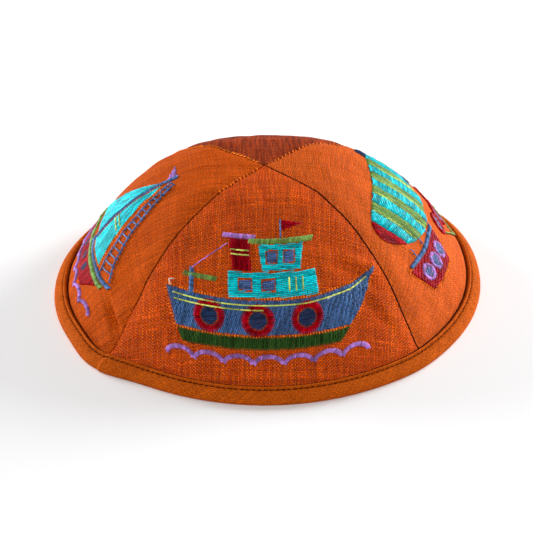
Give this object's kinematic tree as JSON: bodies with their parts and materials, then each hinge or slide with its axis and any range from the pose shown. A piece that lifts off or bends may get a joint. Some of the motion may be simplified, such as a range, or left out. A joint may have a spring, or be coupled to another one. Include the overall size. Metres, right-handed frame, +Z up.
{
  "type": "embroidered kippah",
  "caption": "Shallow domed cloth skullcap of curved triangular panels sewn crown to rim, edged with a folded tape, worn on the crown of the head.",
  "frame": {"origin": "on the surface that the rim rests on, under the middle of the part's box", "axes": "+Z up through the crown, -Y towards the front panel, +X to the right as the front panel is looked at"},
  "size_m": [0.1707, 0.1685, 0.052],
  "materials": {
    "silk_front": "slubbed two-colour raw silk, rust orange with blue",
    "silk_right": "slubbed raw silk, bright orange",
    "silk_back": "slubbed two-colour raw silk, dark red brown",
    "silk_left": "slubbed raw silk, orange brown",
    "binding_tape": "matt bias tape, top-stitched"
  },
  "bodies": {
    "root": {"panel_front": "silk_front", "panel_right": "silk_right", "panel_back": "silk_back", "panel_left": "silk_left", "rim_binding": "binding_tape"}
  },
  "joints": []
}
